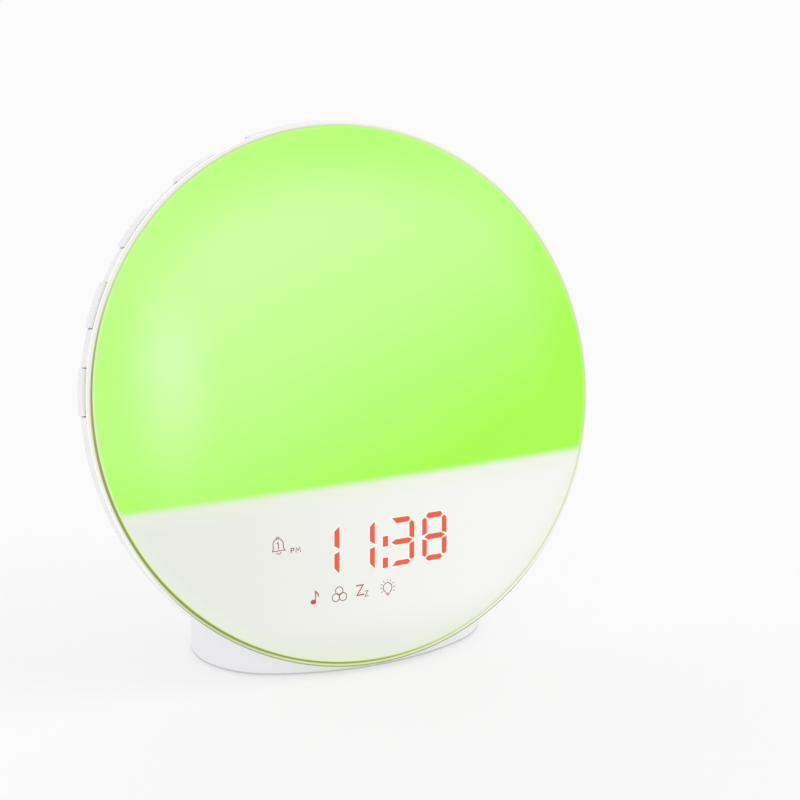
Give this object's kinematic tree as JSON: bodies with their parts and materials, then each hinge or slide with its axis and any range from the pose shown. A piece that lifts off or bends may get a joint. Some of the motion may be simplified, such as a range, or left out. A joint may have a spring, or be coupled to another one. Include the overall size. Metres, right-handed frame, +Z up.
{
  "type": "sunrise alarm clock",
  "caption": "Round sunrise alarm clock: a glowing two-tone face with digits, tilted back on an oval foot, with push buttons round the rim and a speaker grille behind.",
  "frame": {"origin": "middle of the foot's underside, at table level", "axes": "+Z up, the face looks along -Y and leans back, +X to the right as seen by someone facing the clock"},
  "size_m": [0.1814, 0.0798, 0.1759],
  "materials": {
    "board": "solder mask over glass fibre",
    "brass": "plated",
    "casing": "satin white",
    "clear": "clear light guide",
    "dark_plastic": "satin",
    "foam": "foam",
    "guide": "tinted light guides",
    "insulation": "wire insulation",
    "lamp": "lamp packages",
    "lens": "frosted, milky",
    "paper": "treated paper",
    "reflector": "white, diffusing",
    "rubber": "matte",
    "steel": "zinc plated"
  },
  "bodies": {
    "case": {"amplifier": "dark_plastic", "base_plate": "casing", "board_screws": "steel", "button_band": "casing", "button_leads": "insulation", "capacitors": "steel", "case_screws": "steel", "cell_holder": "dark_plastic", "coin_cell": "steel", "dc_jack": "dark_plastic", "display_board": "board", "display_housing": "reflector", "display_lamps": "lamp", "display_ribbon": "insulation", "edge_ring": "clear", "foot_screws": "steel", "foot_shell": "casing", "front_lens": "lens", "icon_guides": "guide", "inlet_board": "board", "jack_pin": "brass", "lamp_board": "board", "lamp_connector": "dark_plastic", "lamps": "lamp", "left_switch_board": "board", "left_switches": "dark_plastic", "light_box": "reflector", "main_board": "board", "power_leads": "insulation", "processor": "dark_plastic", "rear_shell": "casing", "right_switch_board": "board", "right_switches": "dark_plastic", "rubber_pad": "rubber", "segment_guides": "guide", "speaker_basket": "dark_plastic", "speaker_gasket": "foam", "speaker_leads": "insulation", "speaker_magnet": "dark_plastic", "speaker_screws": "steel", "speaker_surround": "rubber", "speaker_yoke": "steel", "top_switch_board": "board", "top_switches": "dark_plastic", "wireless_module": "steel"},
    "left_button_1": {"left_button_1": "casing"},
    "left_button_2": {"left_button_2": "casing"},
    "left_button_3": {"left_button_3": "casing"},
    "left_button_4": {"left_button_4": "casing"},
    "right_button_1": {"right_button_1": "casing"},
    "right_button_2": {"right_button_2": "casing"},
    "right_button_3": {"right_button_3": "casing"},
    "right_button_4": {"right_button_4": "casing"},
    "snooze_bar": {"snooze_bar": "casing"},
    "cone": {"speaker_cone": "paper", "voice_coil": "brass", "dust_cap": "paper"}
  },
  "joints": [
    {"name": "left_button_1_push", "type": "slide", "parent": "case", "child": "left_button_1", "axis": [0.9921, -0.0331, -0.1209], "range_m": [0, 0.00035], "stiffness_N_per_m": 2000, "springref_m": -0.0003},
    {"name": "left_button_2_push", "type": "slide", "parent": "case", "child": "left_button_2", "axis": [0.9048, -0.1124, -0.4107], "range_m": [0, 0.00035], "stiffness_N_per_m": 2000, "springref_m": -0.0003},
    {"name": "left_button_3_push", "type": "slide", "parent": "case", "child": "left_button_3", "axis": [0.729, -0.1806, -0.6603], "range_m": [0, 0.00035], "stiffness_N_per_m": 2000, "springref_m": -0.0003},
    {"name": "left_button_4_push", "type": "slide", "parent": "case", "child": "left_button_4", "axis": [0.4818, -0.2312, -0.8452], "range_m": [0, 0.00035], "stiffness_N_per_m": 2000, "springref_m": -0.0003},
    {"name": "right_button_1_push", "type": "slide", "parent": "case", "child": "right_button_1", "axis": [-0.9921, -0.0331, -0.1209], "range_m": [0, 0.00035], "stiffness_N_per_m": 2000, "springref_m": -0.0003},
    {"name": "right_button_2_push", "type": "slide", "parent": "case", "child": "right_button_2", "axis": [-0.9048, -0.1124, -0.4107], "range_m": [0, 0.00035], "stiffness_N_per_m": 2000, "springref_m": -0.0003},
    {"name": "right_button_3_push", "type": "slide", "parent": "case", "child": "right_button_3", "axis": [-0.729, -0.1806, -0.6603], "range_m": [0, 0.00035], "stiffness_N_per_m": 2000, "springref_m": -0.0003},
    {"name": "right_button_4_push", "type": "slide", "parent": "case", "child": "right_button_4", "axis": [-0.4818, -0.2312, -0.8452], "range_m": [0, 0.00035], "stiffness_N_per_m": 2000, "springref_m": -0.0003},
    {"name": "snooze_bar_push", "type": "slide", "parent": "case", "child": "snooze_bar", "axis": [0, -0.2639, -0.9646], "range_m": [0, 0.00035], "stiffness_N_per_m": 3000, "springref_m": -0.0003},
    {"name": "cone_travel", "type": "slide", "parent": "case", "child": "cone", "axis": [0, -0.9646, 0.2639], "range_m": [-0.0004, 0.0004], "stiffness_N_per_m": 2000}
  ]
}
